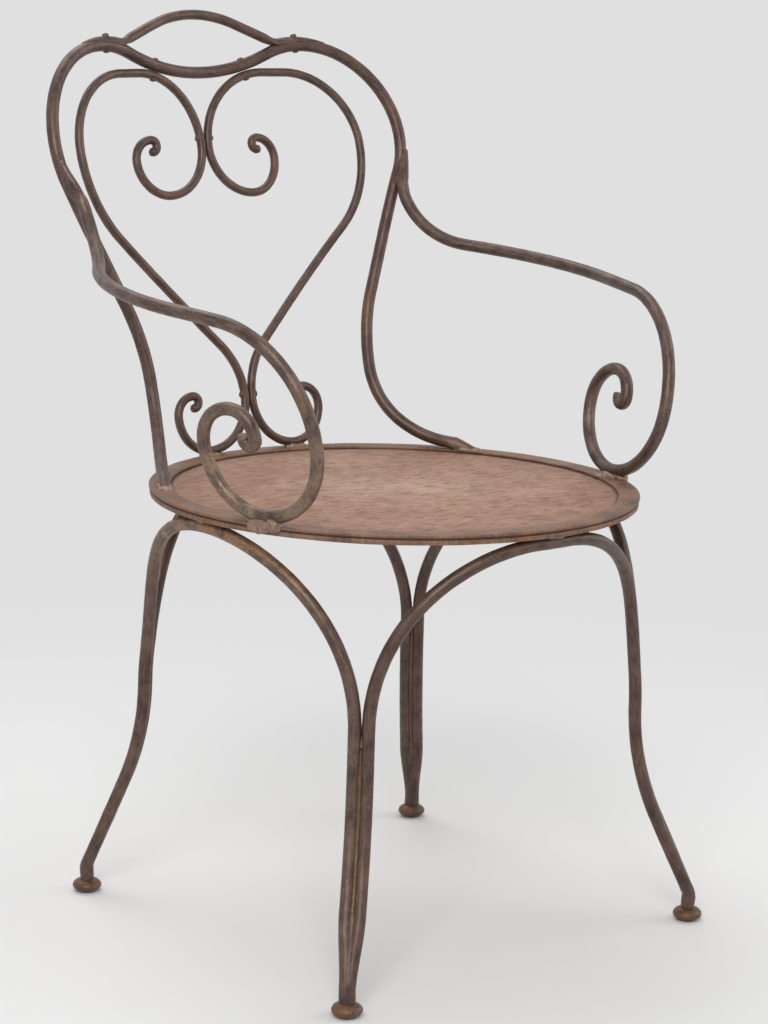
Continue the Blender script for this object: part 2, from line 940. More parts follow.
@dataclass(frozen=True)
class Wear:
    """Bare, weathered metal that shows more and more from one height to another."""

    colour: Colour
    spots: Colour
    top: float
    bottom: float
    cover: float = 0.55
    scale: float = 42
    share: float = 0.85
    roughening: float = 0.08

    def lay(self, wiring: Wiring, space: Socket, body: Socket, rough: Socket) -> tuple[Socket, Socket]:
        """Lays the bare metal over a skin.

        Args:
            wiring: The material's wiring.
            space: Place on the chair.
            body: Colour of the skin.
            rough: Roughness of the skin.

        Returns:
            The new colour and roughness.
        """
        height = wiring.add("ShaderNodeSeparateXYZ", {"Vector": space}).outputs["Z"]
        low = wiring.remap(height, self.top, self.bottom)
        place = wiring.stretched(space, (1, 1, 1), 70, 1.9)
        bare = wiring.group(Effect.RUST, Place=place, Scale=self.scale, Cover=self.cover).outputs
        share = wiring.times(wiring.times(bare["Mask"], low), self.share)
        metal_tone = wiring.mix(wiring.remap(bare["Grain"], 0.35, 0.62), self.colour, self.spots)
        return wiring.mix(share, body, metal_tone), wiring.plus(rough, wiring.times(share, self.roughening))


@dataclass(frozen=True)
class IronFinish:
    """Old bare iron: a dark satin skin, fine rust specks, and rust in patches."""

    name: str
    dark: Colour = tone(62, 47, 40)
    brown: Colour = tone(106, 84, 73)
    rubbed: Colour = tone(158, 138, 118)
    rusty: Colour = tone(124, 80, 52)
    rust_cover: float = 0.40
    rust_scale: float = 16
    rust_share: float = 0.75
    rust_roughening: float = 0.25
    streak_scale: float = 420
    speck_scale: float = 620
    speck_share: float = 0.7
    pale_scale: float = 480
    pale_share: float = 0.55
    metal: float = 0.38
    polish: float = 0.30
    grain_roughening: float = 0.16
    relief: float = 0.00022
    on_bar: bool = True
    wear: Wear | None = None

    def material(self) -> bpy.types.Material:
        """Builds the finish.

        Returns:
            The node material.
        """
        made = bpy.data.materials.new(self.name)
        wiring = Wiring.fresh(made)
        coordinates = wiring.add("ShaderNodeTexCoord").outputs
        space = along = coordinates["Object"]
        if self.on_bar:
            along = wiring.group(Effect.ROUND_BAR, Map=coordinates["UV"]).outputs["Place"]
        run = wiring.group(Effect.STREAKS, Place=along, Scale=self.streak_scale).outputs["Mask"]
        patch = wiring.group(Effect.RUST, Place=space, Scale=self.rust_scale, Cover=self.rust_cover).outputs
        red = wiring.group(Effect.SPECKS, Place=space, Scale=self.speck_scale).outputs["Mask"]
        elsewhere = wiring.stretched(space, (1, 1, 1), 30, 0.7)
        pale = wiring.group(Effect.SPECKS, Place=elsewhere, Scale=self.pale_scale).outputs["Mask"]
        body = wiring.mix(run, self.dark, self.brown)
        body = wiring.mix(wiring.times(pale, self.pale_share), body, self.rubbed)
        grain = wiring.remap(patch["Grain"], 0.3, 0.62, 0.25, 0.9)
        amount = wiring.times(wiring.times(patch["Mask"], grain), self.rust_share)
        amount = wiring.larger(amount, wiring.times(red, self.speck_share))
        body = wiring.mix(amount, body, self.rusty)
        rough = wiring.plus(self.polish, wiring.times(amount, self.rust_roughening))
        rough = wiring.plus(rough, wiring.times(patch["Grain"], self.grain_roughening))
        if self.wear:
            body, rough = self.wear.lay(wiring, space, body, rough)
        skin = wiring.group(Effect.PITS, Place=space, Scale=self.speck_scale).outputs["Height"]
        wiring.surface(body, rough, self.metal, skin, self.relief)
        return made


@dataclass(frozen=True)
class SheetFinish:
    """The seat's sheet: thin brown rust brushed in fine lines, with pale scratches."""

    name: str
    brown: Colour = tone(168, 126, 102)
    deep: Colour = tone(118, 84, 68)
    pale: Colour = tone(212, 184, 160)
    rusty: Colour = tone(158, 108, 76)
    grime: Colour = tone(58, 41, 34)
    grain_turn: float = -20
    grain_scale: float = 290
    grain_share: float = 0.66
    mottle_scale: float = 60
    cloud_scale: float = 11
    rust_scale: float = 9
    rust_cover: float = 0.47
    rust_share: float = 0.5
    skin_scale: float = 420
    scratch_share: float = 0.8
    middle: tuple[float, float, float] = (0, 0.0575, 0)
    worn_reach: float = 0.15
    worn_share: float = 0.24
    ring_inner: float = 0.227
    dulled_width: float = 0.06
    crack_width: float = 0.005
    metal: float = 0.15
    relief: float = 0.00025

    def material(self) -> bpy.types.Material:
        """Builds the finish.

        Returns:
            The node material.
        """
        made = bpy.data.materials.new(self.name)
        wiring = Wiring.fresh(made)
        space = wiring.add("ShaderNodeTexCoord").outputs["Object"]
        to_middle = {0: space, 1: (1, 1, 0), 2: self.middle}
        flat = wiring.add("ShaderNodeVectorMath", to_middle, operation="MULTIPLY_ADD")
        out = wiring.distance(flat.outputs["Vector"])
        along = wiring.stretched(space, (0.2, 1, 1), self.grain_turn)
        drawn = wiring.times(wiring.noise(along, self.grain_scale, 6, 0.7), self.grain_share)
        mottle = wiring.times(wiring.noise(space, self.mottle_scale, 6, 0.68), 1 - self.grain_share)
        grain = wiring.plus(drawn, mottle)
        body = wiring.mix(wiring.remap(grain, 0.37, 0.57), self.deep, self.brown)
        patch = wiring.group(Effect.RUST, Place=space, Scale=self.rust_scale, Cover=self.rust_cover)
        body = wiring.mix(wiring.times(patch.outputs["Mask"], self.rust_share), body, self.rusty)
        cloud = wiring.remap(wiring.noise(space, self.cloud_scale, 5, 0.6), 0.5, 0.7, 0, 0.3)
        worn = wiring.plus(cloud, wiring.remap(out, self.worn_reach, 0.02, 0, self.worn_share))
        body = wiring.mix(wiring.times(worn, wiring.remap(grain, 0.36, 0.62, 0.35, 1)), body, self.pale)
        marks = wiring.group(Effect.SCRATCHES, Place=space, Scale=self.skin_scale).outputs["Mask"]
        body = wiring.mix(wiring.times(marks, self.scratch_share), body, self.pale)
        dulled = wiring.remap(out, self.ring_inner - self.dulled_width, self.ring_inner, 0, 0.3)
        body = wiring.mix(dulled, body, self.deep)
        crack = wiring.remap(out, self.ring_inner - self.crack_width, self.ring_inner - 0.001, 0, 0.8)
        body = wiring.mix(crack, body, self.grime)
        skin = wiring.group(Effect.PITS, Place=space, Scale=self.skin_scale).outputs["Height"]
        rough = wiring.remap(grain, 0.3, 0.7, 0.62, 0.45)
        wiring.surface(body, rough, self.metal, wiring.plus(skin, grain), self.relief)
        return made


@dataclass(frozen=True)
class Finishes:
    """Every finish on the chair, as ready materials."""

    bar: bpy.types.Material
    rim: bpy.types.Material
    sheet: bpy.types.Material
    foot: bpy.types.Material
    braze: bpy.types.Material
    weld: bpy.types.Material
    rivet: bpy.types.Material
    worn: bpy.types.Material
    arms: dict[Side, bpy.types.Material]

    @classmethod
    def mix(cls) -> "Finishes":
        """Builds the chair's finishes.

        Returns:
            The finishes.
        """
        rim = IronFinish(
            "Rim iron", dark=tone(92, 68, 55), brown=tone(146, 114, 94), rubbed=tone(186, 160, 132),
            rusty=tone(154, 104, 68), rust_cover=0.5, rust_scale=34, polish=0.42, on_bar=False,
        )
        foot = IronFinish(
            "Foot iron", dark=tone(74, 56, 45), brown=tone(110, 84, 64), rust_cover=0.55, rust_scale=60,
            on_bar=False,
        )
        braze = IronFinish(
            "Brazing", dark=tone(78, 60, 46), brown=tone(126, 100, 70), rubbed=tone(158, 132, 96),
            rusty=tone(120, 80, 50), rust_cover=0.5, rust_scale=70, on_bar=False,
        )
        bead = IronFinish(
            "Weld bead", dark=tone(112, 88, 74), brown=tone(162, 136, 116), rubbed=tone(192, 172, 150),
            rusty=tone(150, 100, 66), rust_cover=0.42, rust_scale=80, on_bar=False,
        )
        worn = IronFinish(
            "Worn bar iron", brown=tone(114, 92, 80),
            wear=Wear(tone(164, 136, 104), tone(128, 88, 62), top=0.33, bottom=0.42, cover=0.56),
        )
        left_arm = IronFinish(
            "Left arm iron", brown=tone(112, 92, 82),
            wear=Wear(tone(126, 118, 110), tone(104, 80, 66), top=0.60, bottom=0.47, cover=0.5),
        )
        right_arm = IronFinish(
            "Right arm iron", brown=tone(120, 99, 88),
            wear=Wear(tone(150, 134, 112), tone(118, 90, 70), top=0.60, bottom=0.48, cover=0.56),
        )
        return cls(
            bar=IronFinish("Bar iron").material(),
            rim=rim.material(),
            sheet=SheetFinish("Sheet iron").material(),
            foot=foot.material(),
            braze=braze.material(),
            weld=bead.material(),
            rivet=IronFinish("Rivet iron", rust_scale=90, on_bar=False).material(),
            worn=worn.material(),
            arms={Side.LEFT: left_arm.material(), Side.RIGHT: right_arm.material()},
        )


def dress(piece: bpy.types.Object, material: bpy.types.Material, slot: str, *nodes: str) -> bpy.types.Object:
    """Carries a finished piece into the frame, gives it its finish and ties it to its nodes.

    Args:
        piece: Finished mesh, laid out round the seat's axis.
        material: Its finish.
        slot: The record's material slot.
        nodes: CAD nodes that it stands for.

    Returns:
        The piece.
    """
    piece.data.transform(Matrix.Translation(SEAT_AXIS))
    piece.data.materials.clear()
    piece.data.materials.append(material)
    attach(piece, "root")
    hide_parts(*nodes)
    log.info("%s: %d faces for %s", piece.name, len(piece.data.polygons), ", ".join(nodes))
    return piece


def finish_bar(
    piece: bpy.types.Object, dents: Dents, material: bpy.types.Material, node: str, angle: float = 40
) -> None:
    """Hammers, smooths and dresses a bar of the frame.

    Args:
        piece: The bar's mesh.
        dents: Marks on it.
        material: Its finish.
        node: CAD node that it stands for.
        angle: Edges sharper than this stay sharp.
    """
    hammer(piece, dents)
    smooth(piece, angle)
    dress(piece, material, "frame_iron", node)


# Small pieces


@dataclass(frozen=True)
class Rivet:
    """A rivet with a domed head at each end."""

    head_radius: float = 0.0036
    head_height: float = 0.0019
    skirt: float = 0.0022
    cut_at: float = 0.0001

    def head(self, name: str) -> bpy.types.Object:
        """Models one head, its flat side at z = 0 and its dome above.

        Args:
            name: Name of the head.

        Returns:
            The head as a closed mesh.
        """
        bpy.ops.mesh.primitive_uv_sphere_add(segments=24, ring_count=12, radius=self.head_radius)
        piece = newly_made(name)
        squash = (1, 1, self.head_height / self.head_radius)
        with editing():
            bpy.ops.mesh.bisect(plane_co=(0, 0, self.cut_at), plane_no=UP, clear_inner=True, use_fill=False)
            bpy.ops.mesh.select_all(action="SELECT")
            bpy.ops.transform.resize(value=squash, center_override=(0, 0, 0))
            bpy.ops.mesh.select_all(action="DESELECT")
            bpy.ops.mesh.select_non_manifold()
            bpy.ops.mesh.extrude_region_move(TRANSFORM_OT_translate={"value": (0, 0, -self.skirt)})
            bpy.ops.mesh.fill()
            bpy.ops.mesh.select_all(action="SELECT")
            bpy.ops.mesh.normals_make_consistent(inside=False)
        return piece

    def build(self, name: str, centre: Vector, axis: Vector, below: float, above: float) -> bpy.types.Object:
        """Models both heads of a rivet.

        Args:
            name: Name of the piece.
            centre: Where the two bars meet.
            axis: Direction of the shank.
            below: Distance from the centre down to the lower head's seat.
            above: Distance up to the upper head's seat.

        Returns:
            The rivet as one piece.
        """
        heads = []
        for way, far in ((axis, above), (-axis, below)):
            turn = way.to_track_quat("Z", "Y").to_matrix().to_4x4()
            heads.append(self.head(name))
            heads[-1].data.transform(Matrix.Translation(centre + way * far) @ turn)
        pick(*heads)
        bpy.ops.object.join()
        hammer(heads[0], Dents.RIVET)
        smooth(heads[0])
        return heads[0]


@dataclass(frozen=True)
class Drop:
    """One lump of weld metal: its middle, two of its directions, and its half length, width and depth."""

    centre: Vector
    along: Vector
    normal: Vector
    half: tuple[float, float, float]

    def lump(self) -> bpy.types.Object:
        """Models the lump on its own.

        Returns:
            The lump as a closed mesh.
        """
        bpy.ops.mesh.primitive_ico_sphere_add(subdivisions=4, radius=1)
        piece = bpy.context.object
        piece.scale = self.half
        settle(piece)
        along = (self.along - self.normal * self.along.dot(self.normal)).normalized()
        across = self.normal.cross(along)
        turn = Matrix((along, across, self.normal)).transposed().to_4x4()
        piece.data.transform(Matrix.Translation(self.centre) @ turn)
        return piece


def weld(name: str, drops: Sequence[Drop]) -> bpy.types.Object:
    """Models a lumpy weld of drops that have melted into one another.

    Args:
        name: Name of the piece.
        drops: The lumps of metal.

    Returns:
        The weld as a closed mesh.
    """
    voxel = 0.0006
    lumps = [drop.lump() for drop in drops]
    pick(*lumps)
    if len(lumps) > 1:
        bpy.ops.object.join()
    piece = newly_made(name)
    hammer(piece, Dents.WELD_LUMP)
    melt = piece.modifiers.new("Melt", "REMESH")
    melt.mode = "VOXEL"
    melt.voxel_size = voxel
    bpy.ops.object.modifier_apply(modifier=melt.name)
    hammer(piece, Dents.WELD_GRAIN)
    smooth(piece, 180)
    return piece


# Sub-assemblies


@dataclass
class Seat:
    """The round seat: a flat ring over the sheet, and a flat band under it."""

    finishes: Finishes
    top: float = SEAT_TOP
    radius: float = SEAT_RADIUS
    ring_width: float = 0.0215
    ring_thickness: float = 0.0028
    sheet_thickness: float = 0.002
    sheet_inset: float = 0.0025
    band_height: float = 0.0048
    band_width: float = 0.017
    band_inset: float = 0.001
    edge: float = 0.0008
    sheet_sides: int = 120
    sheet_rounds: int = 18
    buckle_width: float = 0.16
    buckle_lift: float = 0.0012

    @property
    def sheet_top(self) -> float:
        """Height of the sheet's upper side."""
        return self.top - self.ring_thickness

    @property
    def under(self) -> float:
        """Height of the band's underside."""
        return self.sheet_top - self.sheet_thickness - self.band_height

    def build(self) -> None:
        """Models and dresses the seat."""
        self.ring()
        self.sheet()
        self.band()

    def ring(self) -> None:
        """The ring on top, a little uneven from the hammer."""
        piece = turned_ring(
            "seat_rim", self.radius - self.ring_width, self.radius, self.sheet_top, self.top, self.edge
        )
        hammer(piece, Dents.RIM)
        smooth(piece)
        dress(piece, self.finishes.rim, "seat_iron", "seat_ring")

    def sheet(self) -> None:
        """The sheet, slightly buckled."""
        across = self.radius - self.sheet_inset
        bpy.ops.mesh.primitive_circle_add(
            vertices=self.sheet_sides, radius=across, fill_type="NGON", location=UP * self.sheet_top
        )
        piece = newly_made("seat_sheet")
        settle(piece)
        with editing():
            for _ in range(self.sheet_rounds):
                bpy.ops.mesh.inset(thickness=across / (self.sheet_rounds + 1), depth=0)
            bpy.ops.mesh.poke()
        wall = piece.modifiers.new("Wall", "SOLIDIFY")
        wall.thickness = self.sheet_thickness
        wall.offset = -1
        pick(piece)
        bpy.ops.object.modifier_apply(modifier=wall.name)
        buckle = bpy.data.textures.new("Sheet buckle", "CLOUDS")
        buckle.noise_scale = self.buckle_width
        lift = piece.modifiers.new("Buckle", "DISPLACE")
        lift.texture = buckle
        lift.direction = "Z"
        lift.strength = self.buckle_lift
        bpy.ops.object.modifier_apply(modifier=lift.name)
        smooth(piece)
        dress(piece, self.finishes.sheet, "seat_iron", "seat_panel")

    def band(self) -> None:
        """The band under the sheet."""
        outer = self.radius - self.band_inset
        top = self.under + self.band_height
        piece = turned_ring("seat_underband", outer - self.band_width, outer, self.under, top, self.edge)
        hammer(piece, Dents.BAND)
        smooth(piece)
        dress(piece, self.finishes.rim, "seat_iron", "seat_band")


@dataclass
class Back:
    """The hoop, its crest and the two hearts, riveted together and welded to the rim."""

    finishes: Finishes
    sheet: BackSheet = field(default_factory=BackSheet)
    bar: float = BAR
    scroll_bar: float = 0.00465
    crest_bar: float = 0.0054
    gap: float = GAP
    weld_gap: float = 0.0003
    neck_radius: float = 0.078
    crown_flat: float = 0.026
    shoulder_radius: float = 0.0775
    flank_radius: float = 0.126
    flank_slope: float = 45.5
    lower_neck_radius: float = 0.0785
    low_scroll: tuple[float, float, float] = (0.052, 0.0375, 0.021)
    top_scroll: tuple[float, float, float] = (0.051, 0.0365, 0.022)
    eye_radius: float = 0.0065
    eye_turn: float = 205
    dip_radius: float = 0.213
    dip_turn: float = 24.3
    dip_straight: float = 0.0058
    hoop_shoulder: float = 0.0965
    post_slope: float = 24
    post_straight: float = 0.140
    waist_radius: float = 0.200
    toe_angle: float = 33
    toe_ring: float = 0.234
    toe_length: float = 0.026
    crest_height: float = 0.905
    crest_slope: float = 22
    crest_kink: float = 0.020
    tongue_thickness: float = 0.0044
    tongue_from: float = 15
    tongue_turn: float = 31
    upper_rivet_rise: float = 0.008
    lower_rivet_rise: float = 0.003
    crest_rivet_at: float = 4
    heart_bead: tuple[float, float, float] = (0.015, 0.007, 0.004)
    heart_blob: tuple[float, float, float] = (0.006, 0.006, 0.0046)
    heart_blob_shift: tuple[float, float, float] = (-0.006, -0.003, 0)
    post_bead: tuple[float, float, float] = (0.010, 0.0085, 0.0044)
    post_blob: tuple[float, float, float] = (0.010, 0.0085, 0.0032)
    post_beads_at: tuple[float, float] = (0.4, 0.85)

    def __post_init__(self) -> None:
        """Works out the places that follow from the sizes."""
        slope = math.radians(self.flank_slope)
        bends = self.flank_radius + self.lower_neck_radius
        self.neck_x = self.scroll_bar + self.gap / 2
        self.flank = (
            self.neck_radius + self.crown_flat + self.shoulder_radius - bends * (1 - math.cos(slope))
        ) / math.sin(slope)
        self.lower_neck = self.sheet.seat_top + self.scroll_bar + self.weld_gap + self.low_scroll[0]
        self.upper_neck = (
            self.lower_neck - self.neck_radius + self.shoulder_radius
            + bends * math.sin(slope) + self.flank * math.cos(slope)
        )
        self.crown_x = self.neck_x + self.neck_radius
        self.reach = self.dip_radius + self.neck_radius + self.bar + self.scroll_bar + self.gap
        self.dip_centre = self.upper_neck + math.sqrt(self.reach**2 - self.crown_x**2)
        turn = math.radians(self.dip_turn)
        both = self.dip_radius + self.hoop_shoulder
        self.shoulder_x = both * math.sin(turn) + self.dip_straight * math.cos(turn)
        self.shoulder_z = self.dip_centre - both * math.cos(turn) + self.dip_straight * math.sin(turn)
        self.toe_z = self.sheet.seat_top + self.bar + self.weld_gap

    def scroll(self, pen: Pen, radii: Sequence[float]) -> Pen:
        """Draws three quarters that tighten into an eye.

        Args:
            pen: Pen at the start of the scroll.
            radii: Radius of each quarter.

        Returns:
            The pen at the eye's end.
        """
        for radius in radii:
            pen.arc(radius, 90)
        return pen.arc(self.eye_radius, self.eye_turn, step=50)

    def heart_stations(self) -> list[Station]:
        """Stations of the left heart, from the upper eye over the crown to the lower eye.

        Returns:
            The stations.
        """
        upper = self.scroll(Pen(self.neck_x, self.upper_neck, -90), self.top_scroll)
        lower = self.scroll(Pen(self.neck_x, self.lower_neck, -90), self.low_scroll)
        loop = Pen(self.neck_x, self.upper_neck, 90)
        loop.arc(self.neck_radius, -90)
        loop.line(self.crown_flat)
        loop.arc(self.shoulder_radius, -90)
        loop.arc(self.flank_radius, -self.flank_slope, step=16)
        loop.line(self.flank, pieces=4)
        loop.arc(self.lower_neck_radius, self.flank_slope, step=24)
        return (
            backwards(place(upper.marks, self.sheet.flat_point))
            + place(loop.marks, self.sheet.point)[1:-1]
            + place(lower.marks, self.sheet.flat_point)
        )

    def toe_station(self, travelled: float) -> Station:
        """Station of the post's toe, which runs forward along the ring."""
        angle = math.radians(self.toe_angle) - travelled / self.toe_ring
        point = Vector((self.toe_ring * math.cos(angle), self.toe_ring * math.sin(angle), self.toe_z))
        return Station(point, Vector((math.sin(angle), -math.cos(angle), 0)))

    def half_hoop(self) -> list[Station]:
        """Stations from the middle of the dip to the left toe's tip.

        Returns:
            The stations.
        """
        pen = Pen(0, self.dip_centre - self.dip_radius, 0)
        pen.arc(self.dip_radius, self.dip_turn, step=13)
        pen.line(self.dip_straight)
        pen.arc(self.hoop_shoulder, -(self.dip_turn + 90 + self.post_slope), step=24)
        pen.line(self.post_straight, pieces=4)
        pen.arc(self.waist_radius, self.post_slope, step=13)
        toe = [self.toe_station(0), self.toe_station(self.toe_length)]
        return place(pen.marks, self.sheet.point) + toe

    def on_shoulder(self, before_top: float, radius: float) -> tuple[float, float]:
        """Flat place round the shoulder's centre, in degrees before its top."""
        angle = math.radians(before_top)
        return self.shoulder_x - radius * math.sin(angle), self.shoulder_z + radius * math.cos(angle)

    def half_crest(self) -> list[Station]:
        """Stations from the crest's middle to its left tip, which lies on the hoop.

        Returns:
            The stations.
        """
        start, slope = math.radians(self.tongue_from), math.radians(self.crest_slope)
        kink = self.crest_kink
        lap = self.hoop_shoulder + self.bar + self.tongue_thickness / 2
        lap_x, lap_z = self.on_shoulder(self.tongue_from, lap)
        along = lap_x - kink * (math.sin(start) + math.sin(slope))
        drop = self.crest_height - lap_z + kink * (math.cos(slope) - math.cos(start))
        bend = math.sin(slope) ** 2 - math.cos(slope) * (1 - math.cos(slope))
        radius = (along * math.sin(slope) - drop * math.cos(slope)) / bend
        straight = (drop * math.sin(slope) - along * (1 - math.cos(slope))) / bend
        pen = Pen(0, self.crest_height, 0)
        pen.arc(radius, -self.crest_slope, step=12)
        pen.line(straight)
        pen.arc(kink, self.crest_slope + self.tongue_from, step=40)
        pen.arc(lap, -self.tongue_turn, step=12)
        return place(pen.marks, self.sheet.point)

    def post_line(self) -> list[Vector]:
        """Centre line of the left post from the shoulder down."""
        line = follow(self.half_hoop())
        return line[max(range(len(line)), key=lambda i: line[i].z):]

    def build(self) -> None:
        """Models and dresses the back."""
        self.hoop()
        self.crest()
        self.hearts()
        self.rivets()
        self.welds()

    def hoop(self) -> None:
        """The hoop with both posts, in one bar."""
        line = follow(both_halves(self.half_hoop()))
        lap = Lap(
            rest=self.toe_z - self.sheet.seat_top, under=0, half_width=self.bar, thick=2 * self.bar,
            tip=0.0012, reach=self.toe_length, ease=0.012,
        )
        piece = round_bar("hoop", line, self.bar)
        forge(piece, line, self.bar, lap, lambda i: UP)
        finish_bar(piece, Dents.BAR, self.finishes.bar, "back_hoop")

    def crest(self) -> None:
        """The crest bar, its ends hammered into tongues that lie on the hoop."""
        line = follow(both_halves(self.half_crest()))
        tongue = math.radians(self.tongue_turn) * (self.hoop_shoulder + self.bar)
        lap = Lap(
            rest=self.tongue_thickness / 2, under=self.bar, half_width=0.0062,
            thick=self.tongue_thickness, tip=0.0007, reach=tongue, ease=0.022,
        )

        def off_hoop(i: int) -> Vector:
            """Direction from the middle of the hoop's shoulder to a point of the crest."""
            return line[i] - self.sheet.point(math.copysign(self.shoulder_x, line[i].x), self.shoulder_z)

        piece = round_bar("crest", line, self.crest_bar, rounding=0.5)
        forge(piece, line, self.crest_bar, lap, off_hoop)
        finish_bar(piece, Dents.CREST, self.finishes.bar, "crest_bar", angle=60)

    def hearts(self) -> None:
        """Both hearts."""
        for side in Side:
            line = follow(mirrored(self.heart_stations(), side))
            piece = round_bar(f"heart_{side.label}", line, self.scroll_bar, sides=16, rounding=0.5)
            finish_bar(piece, Dents.SCROLL, self.finishes.bar, f"heart_scroll_{side.label}")

    def rivets(self) -> None:
        """Rivets at the crest, the crowns and the necks."""
        maker = Rivet()
        crest = math.radians(self.crest_rivet_at)
        x, z = self.on_shoulder(self.crest_rivet_at, self.hoop_shoulder + self.bar)
        on_crest = self.sheet.point(x, z)
        up_crest = self.sheet.direction(x, z, -math.sin(crest), math.cos(crest))
        dx, dz = self.crown_x / self.reach, (self.upper_neck - self.dip_centre) / self.reach
        low = self.dip_radius + self.bar + self.gap / 2
        x, z = dx * low, self.dip_centre + dz * low
        on_crown, up_crown = self.sheet.point(x, z), self.sheet.direction(x, z, -dx, -dz)
        scroll, hoop = 2 * self.scroll_bar, 2 * self.bar
        neck = {
            "upper": self.upper_neck + self.upper_rivet_rise,
            "lower": self.lower_neck + self.lower_rivet_rise,
        }
        rivets = []
        for side in Side:
            name, flip = side.label, side.flip
            rivets.append((f"crest_{name}", on_crest * flip, up_crest * flip, hoop, self.tongue_thickness))
            rivets.append((f"crown_{name}", on_crown * flip, up_crown * flip, scroll, hoop))
        for level, height in neck.items():
            rivets.append((f"neck_{level}", self.sheet.point(0, height), ACROSS, scroll, scroll))
        for name, centre, axis, below, above in rivets:
            piece = maker.build(f"rivet_{name}", centre, axis, below, above)
            kind, where = name.split("_")
            dress(piece, self.finishes.rivet, "frame_iron", f"{kind}_rivet_{where}")

    def welds(self) -> None:
        """Welds where the hearts and the posts stand on the rim."""
        for side in Side:
            middle = side.value * (self.neck_x + self.low_scroll[0])
            rest = self.sheet.flat_point(middle, self.sheet.seat_top)
            beside = rest + Vector(self.heart_blob_shift)
            drops = [Drop(rest, ACROSS, UP, self.heart_bead), Drop(beside, ACROSS, UP, self.heart_blob)]
            piece = weld(f"bead_heart_{side.label}", drops)
            dress(piece, self.finishes.weld, "weld", f"heart_weld_{side.label}")
            drops = []
            for share, half in zip(self.post_beads_at, (self.post_bead, self.post_blob)):
                toe = self.toe_station(self.toe_length * share)
                on = Vector((toe.point.x, toe.point.y, self.sheet.seat_top)) * side.flip
                drops.append(Drop(on, toe.along * side.flip, UP, half))
            piece = weld(f"bead_post_{side.label}", drops)
            dress(piece, self.finishes.weld, "weld", f"post_weld_{side.label}")


